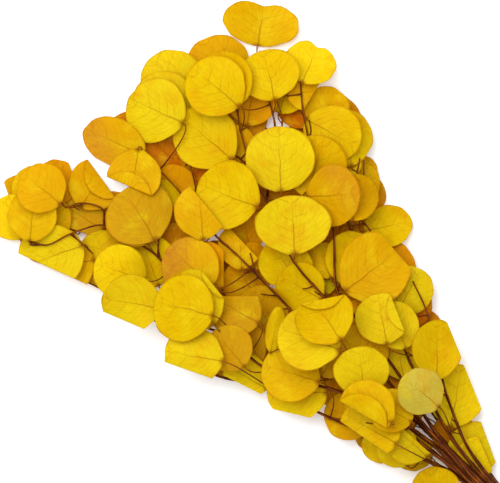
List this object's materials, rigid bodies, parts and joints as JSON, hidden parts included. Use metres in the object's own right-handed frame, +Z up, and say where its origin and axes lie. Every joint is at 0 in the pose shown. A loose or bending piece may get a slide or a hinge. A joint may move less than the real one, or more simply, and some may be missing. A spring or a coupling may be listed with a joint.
{
  "type": "bunch of eucalyptus branches",
  "caption": "Bunch of preserved yellow-dyed silver-dollar eucalyptus branches, round leaves on thin brown stems, lying flat and fanned out from its gathered cut ends.",
  "frame": {"origin": "middle of the bunch's box in plan, at the height of the surface that it lies on", "axes": "+X from the cut ends of the stems to the leafy tips, +Z up off the surface, +Y to the left when looking from the cut ends to the tips"},
  "size_m": [0.6202, 0.3706, 0.0952],
  "materials": {
    "leaf": "satin",
    "bark": "satin"
  },
  "bodies": {
    "root": {"leafy_stem_beneath_left": "leaf", "leafy_stem_beneath_shoulder": "leaf", "leafy_stem_beneath_top": "leaf", "leafy_stem_beneath_right": "leaf", "leafy_stem_right_edge": "leaf", "leafy_stem_right": "leaf", "leafy_stem_top_right": "leaf", "leafy_stem_top": "leaf", "leafy_stem_shoulder": "leaf", "leafy_stem_left": "leaf", "leafy_stem_left_edge": "leaf"}
  },
  "joints": []
}
